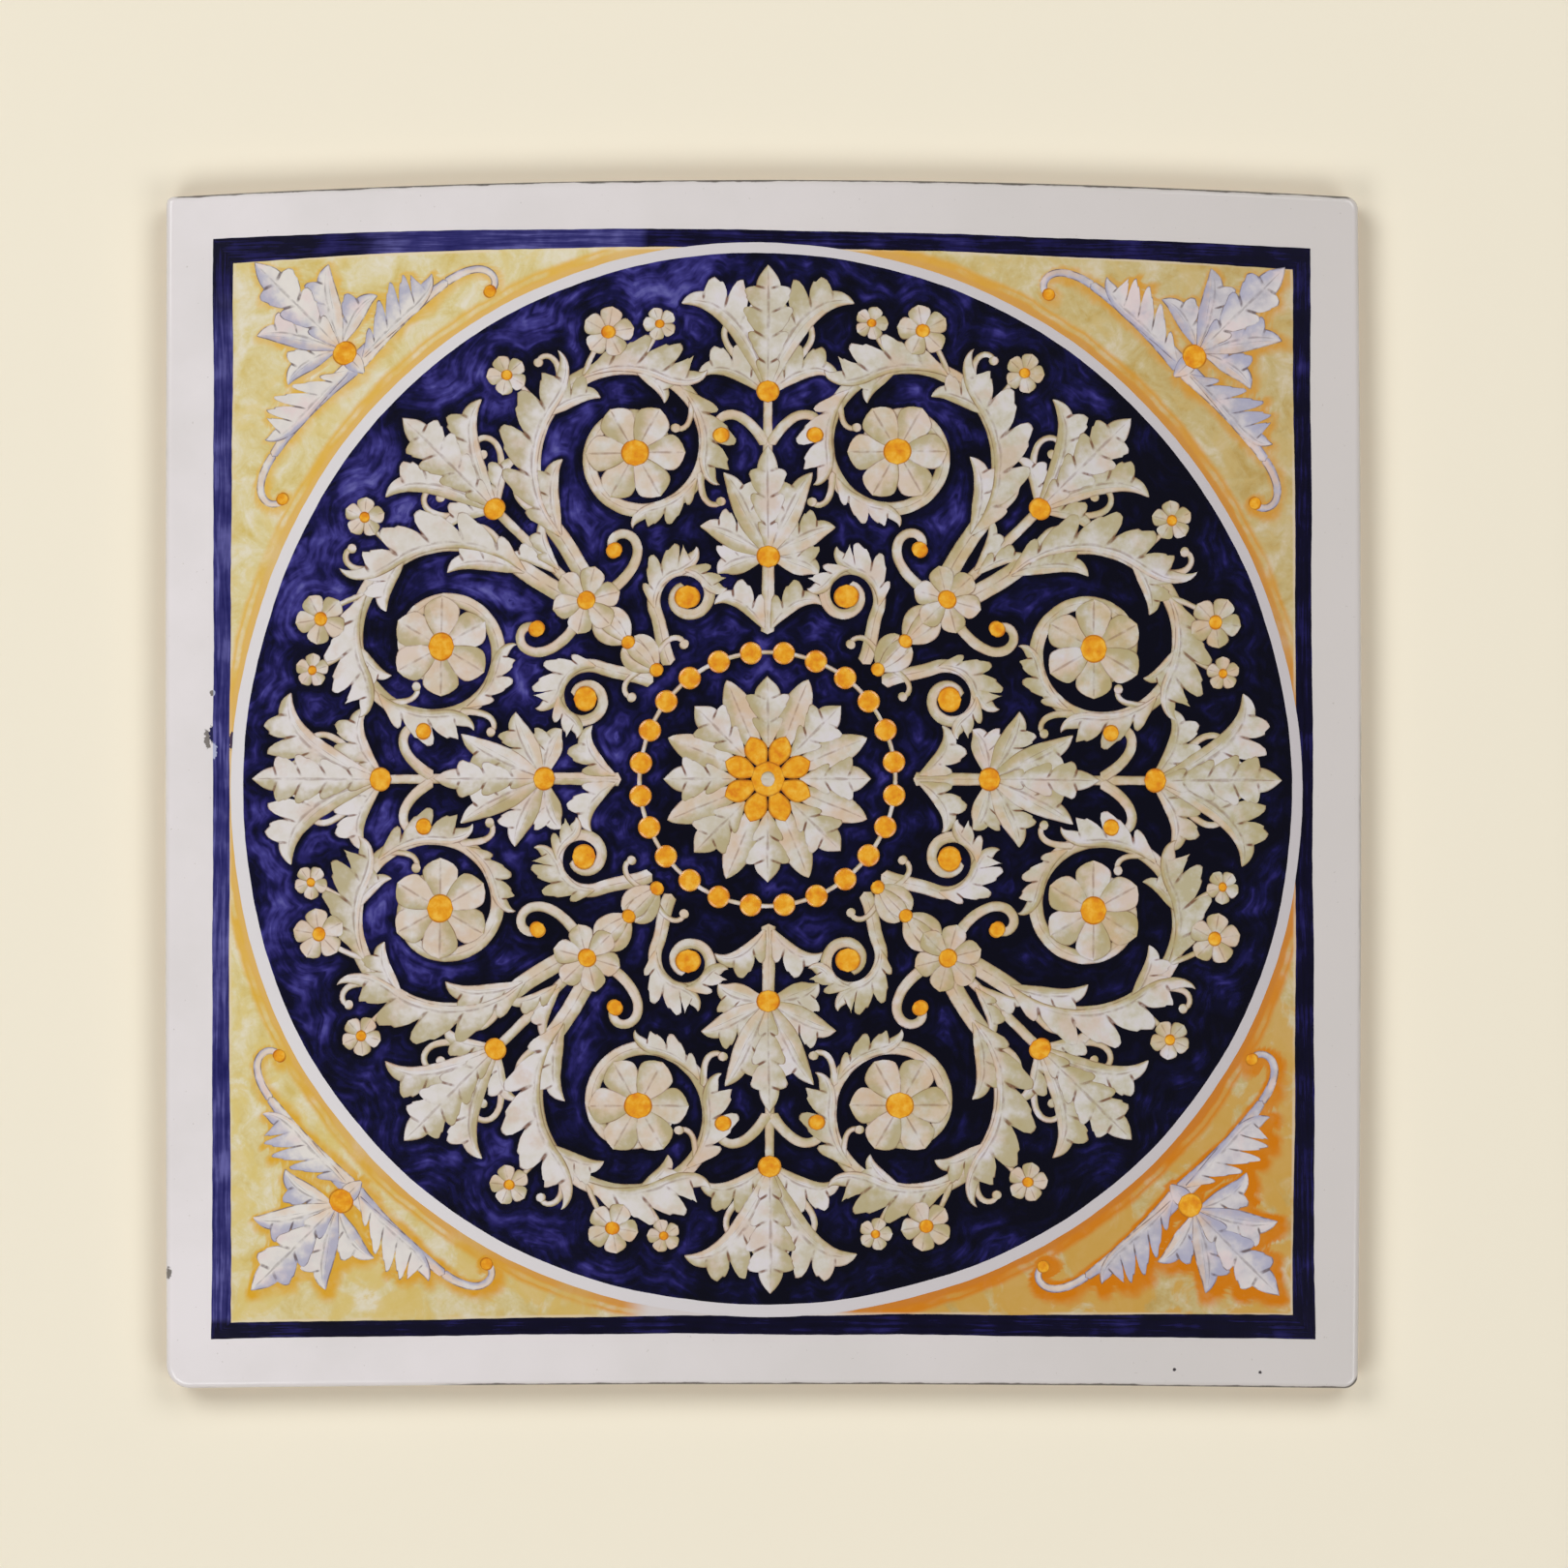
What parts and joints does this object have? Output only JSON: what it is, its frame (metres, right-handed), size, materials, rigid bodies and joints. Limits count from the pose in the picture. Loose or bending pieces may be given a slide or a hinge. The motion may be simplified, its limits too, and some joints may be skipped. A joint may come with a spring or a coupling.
{
  "type": "square tile",
  "caption": "Square hand-painted glazed ceramic wall tile with a framed roundel of scrolling leaves, laid flat on its keyed back.",
  "frame": {"origin": "middle of the box that holds the tile, on its back", "axes": "+Z out of the glazed face; +Y towards the edge that is uppermost on the wall, +X to the right seen from the front"},
  "size_m": [0.301, 0.3042, 0.012],
  "materials": {
    "white_glaze": "glossy",
    "cobalt_glaze": "glossy",
    "yellow_glaze": "glossy",
    "orange_glaze": "glossy",
    "cream_glaze": "glossy",
    "line_glaze": "glossy"
  },
  "bodies": {
    "root": {"tile": "white_glaze"}
  },
  "joints": []
}
